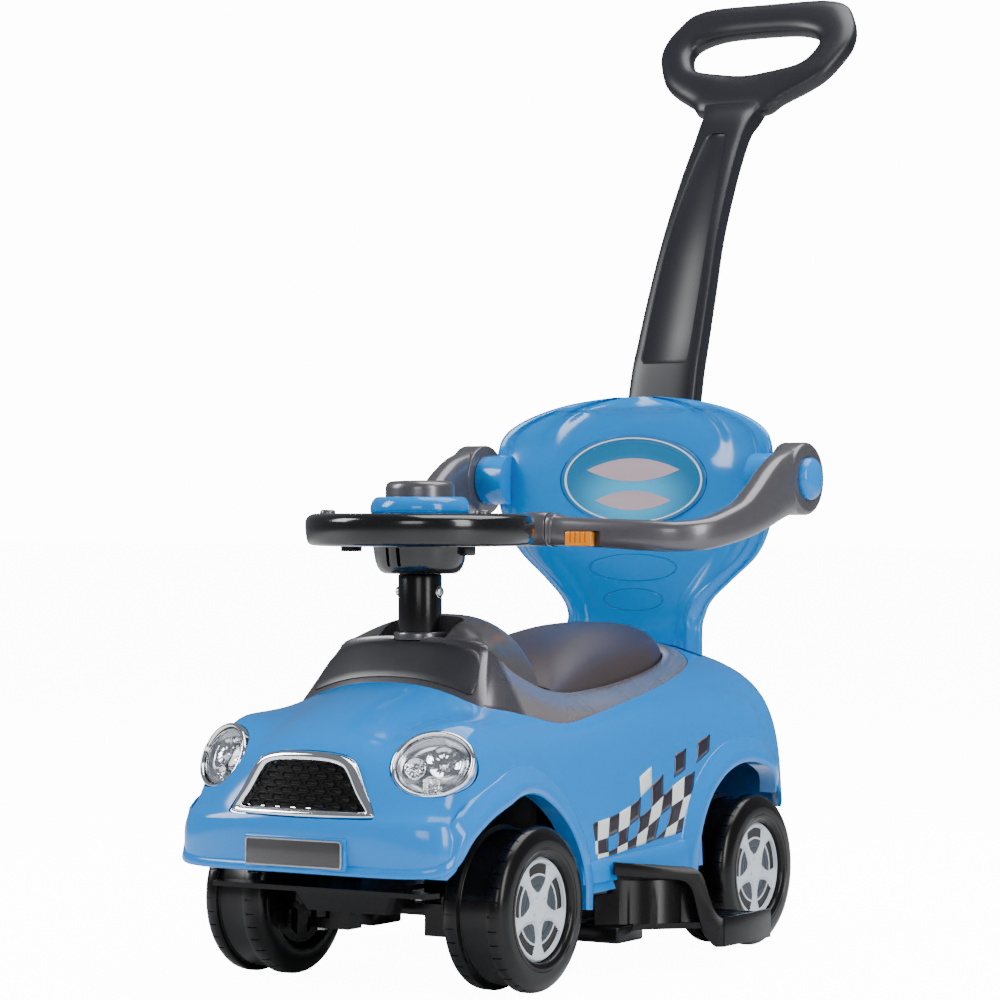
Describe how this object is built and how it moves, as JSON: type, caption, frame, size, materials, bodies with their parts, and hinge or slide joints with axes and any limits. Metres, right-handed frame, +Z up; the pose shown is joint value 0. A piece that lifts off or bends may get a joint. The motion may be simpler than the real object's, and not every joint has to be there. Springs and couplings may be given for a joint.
{
  "type": "ride-on push car",
  "caption": "Child's ride-on push car with steering, swing-up guard rail, backrest, footrests and a parent's push handle.",
  "frame": {"origin": "on the floor under the middle of the bounding box", "axes": "+Z up, -Y towards the front of the car, +X towards the car's left side"},
  "size_m": [0.4108, 0.8359, 0.8977],
  "materials": {
    "blue": "glossy moulded blue",
    "gunmetal": "dark metallic grey, glossy",
    "silver_grey": "brownish silver metallic",
    "panel_grey": "dark grey, satin",
    "seat_brown": "dark brown-grey, satin",
    "black": "black, satin",
    "handle_grey": "dark blue-grey, satin",
    "chrome": "bright",
    "hubcap_silver": "silver, glossy",
    "lens": "clear",
    "amber": "orange",
    "badge": "light cyan, glossy",
    "plate": "charcoal, bare",
    "tyre_black": "black blow-moulded plastic, satin",
    "steel": "plain"
  },
  "bodies": {
    "car": {"body_shell": "blue", "grille_surround": "chrome", "grille_mesh": "black", "number_plate": "plate", "cockpit_surround": "silver_grey", "windscreen_panel": "panel_grey", "dash_hump": "gunmetal", "storage_bin": "black", "seat_hinge_pin": "steel", "column_collar": "silver_grey", "chassis": "black", "rear_axle": "steel", "backrest": "blue", "badge": "badge", "push_handle": "handle_grey", "headlight_bezel_left": "chrome", "headlight_reflector_left": "chrome", "headlight_lens_left": "lens", "kingpin_left": "steel", "footrest_left": "black", "guard_pin_left": "steel", "headlight_bezel_right": "chrome", "headlight_reflector_right": "chrome", "headlight_lens_right": "lens", "kingpin_right": "steel", "footrest_right": "black", "guard_pin_right": "steel"},
    "steering": {"steering_rod": "steel", "column_sleeve": "black", "column_bolt": "steel", "steering_wheel": "black", "wheel_ring": "blue"},
    "horn_cap": {"horn_cap": "gunmetal"},
    "music_button_left": {"music_button_left": "gunmetal"},
    "music_button_right": {"music_button_right": "gunmetal"},
    "knuckle_left": {"knuckle_left": "steel"},
    "knuckle_right": {"knuckle_right": "steel"},
    "tie_plate": {"tie_plate": "steel"},
    "seat_lid": {"seat_lid": "seat_brown"},
    "guard_arm_left": {"guard_arm_left": "gunmetal"},
    "guard_arm_right": {"guard_arm_right": "gunmetal", "guard_catch": "amber"},
    "guard_latch": {"guard_latch": "amber"},
    "guard_cap_left": {"guard_cap_left": "blue"},
    "guard_cap_right": {"guard_cap_right": "blue"},
    "wheel_front_left": {"wheel_front_left": "tyre_black", "hubcap_front_left": "hubcap_silver", "hubcap_front_left_inner": "black"},
    "wheel_rear_left": {"wheel_rear_left": "tyre_black", "hubcap_rear_left": "hubcap_silver", "hubcap_rear_left_inner": "black"},
    "wheel_front_right": {"wheel_front_right": "tyre_black", "hubcap_front_right": "hubcap_silver", "hubcap_front_right_inner": "black"},
    "wheel_rear_right": {"wheel_rear_right": "tyre_black", "hubcap_rear_right": "hubcap_silver", "hubcap_rear_right_inner": "black"}
  },
  "joints": [
    {"name": "steering_turn", "type": "hinge", "parent": "car", "child": "steering", "pos_m": [0, -0.2309, 0.33], "axis": [0, 0, 1], "range_deg": [-20, 20]},
    {"name": "tie_plate_pivot", "type": "hinge", "parent": "steering", "child": "tie_plate", "pos_m": [0, -0.2609, 0.069], "axis": [0, 0, 1], "range_deg": [-20, 20]},
    {"name": "horn_press", "type": "slide", "parent": "steering", "child": "horn_cap", "axis": [0, 0, -1], "range_m": [0, 0.003], "stiffness_N_per_m": 500, "springref_m": -0.004},
    {"name": "seat_lid_hinge", "type": "hinge", "parent": "car", "child": "seat_lid", "pos_m": [0, -0.1499, 0.243], "axis": [1, 0, 0], "range_deg": [0, 25]},
    {"name": "guard_latch_slide", "type": "slide", "parent": "guard_arm_left", "child": "guard_latch", "axis": [1, 0, 0], "range_m": [0, 0.007]},
    {"name": "music_press_left", "type": "slide", "parent": "steering", "child": "music_button_left", "axis": [0, 0, -1], "range_m": [0, 0.0012], "stiffness_N_per_m": 300, "springref_m": -0.001},
    {"name": "knuckle_pivot_left", "type": "hinge", "parent": "car", "child": "knuckle_left", "pos_m": [0.072, -0.2725, 0.068], "axis": [0, 0, 1], "range_deg": [-20, 20]},
    {"name": "front_spin_left", "type": "hinge", "parent": "knuckle_left", "child": "wheel_front_left", "pos_m": [0.118, -0.2725, 0.068], "axis": [1, 0, 0], "continuous": true},
    {"name": "rear_spin_left", "type": "hinge", "parent": "car", "child": "wheel_rear_left", "pos_m": [0.118, 0.1047, 0.068], "axis": [1, 0, 0], "continuous": true},
    {"name": "guard_swing_left", "type": "hinge", "parent": "car", "child": "guard_arm_left", "pos_m": [0.17, 0.1296, 0.421], "axis": [-1, 0, 0], "range_deg": [0, 110]},
    {"name": "guard_cap_press_left", "type": "slide", "parent": "guard_arm_left", "child": "guard_cap_left", "axis": [-1, 0, 0], "range_m": [0, 0.0025], "stiffness_N_per_m": 300, "springref_m": -0.001},
    {"name": "music_press_right", "type": "slide", "parent": "steering", "child": "music_button_right", "axis": [0, 0, -1], "range_m": [0, 0.0012], "stiffness_N_per_m": 300, "springref_m": -0.001},
    {"name": "knuckle_pivot_right", "type": "hinge", "parent": "car", "child": "knuckle_right", "pos_m": [-0.072, -0.2725, 0.068], "axis": [0, 0, 1], "range_deg": [-20, 20]},
    {"name": "front_spin_right", "type": "hinge", "parent": "knuckle_right", "child": "wheel_front_right", "pos_m": [-0.118, -0.2725, 0.068], "axis": [1, 0, 0], "continuous": true},
    {"name": "rear_spin_right", "type": "hinge", "parent": "car", "child": "wheel_rear_right", "pos_m": [-0.118, 0.1047, 0.068], "axis": [1, 0, 0], "continuous": true},
    {"name": "guard_swing_right", "type": "hinge", "parent": "car", "child": "guard_arm_right", "pos_m": [-0.17, 0.1296, 0.421], "axis": [-1, 0, 0], "range_deg": [0, 110]},
    {"name": "guard_cap_press_right", "type": "slide", "parent": "guard_arm_right", "child": "guard_cap_right", "axis": [1, 0, 0], "range_m": [0, 0.0025], "stiffness_N_per_m": 300, "springref_m": -0.001}
  ],
  "couplings": [
    {"joint": "knuckle_pivot_left", "follows": "steering_turn", "ratio": 1},
    {"joint": "knuckle_pivot_right", "follows": "steering_turn", "ratio": 1},
    {"joint": "tie_plate_pivot", "follows": "steering_turn", "ratio": -1}
  ]
}
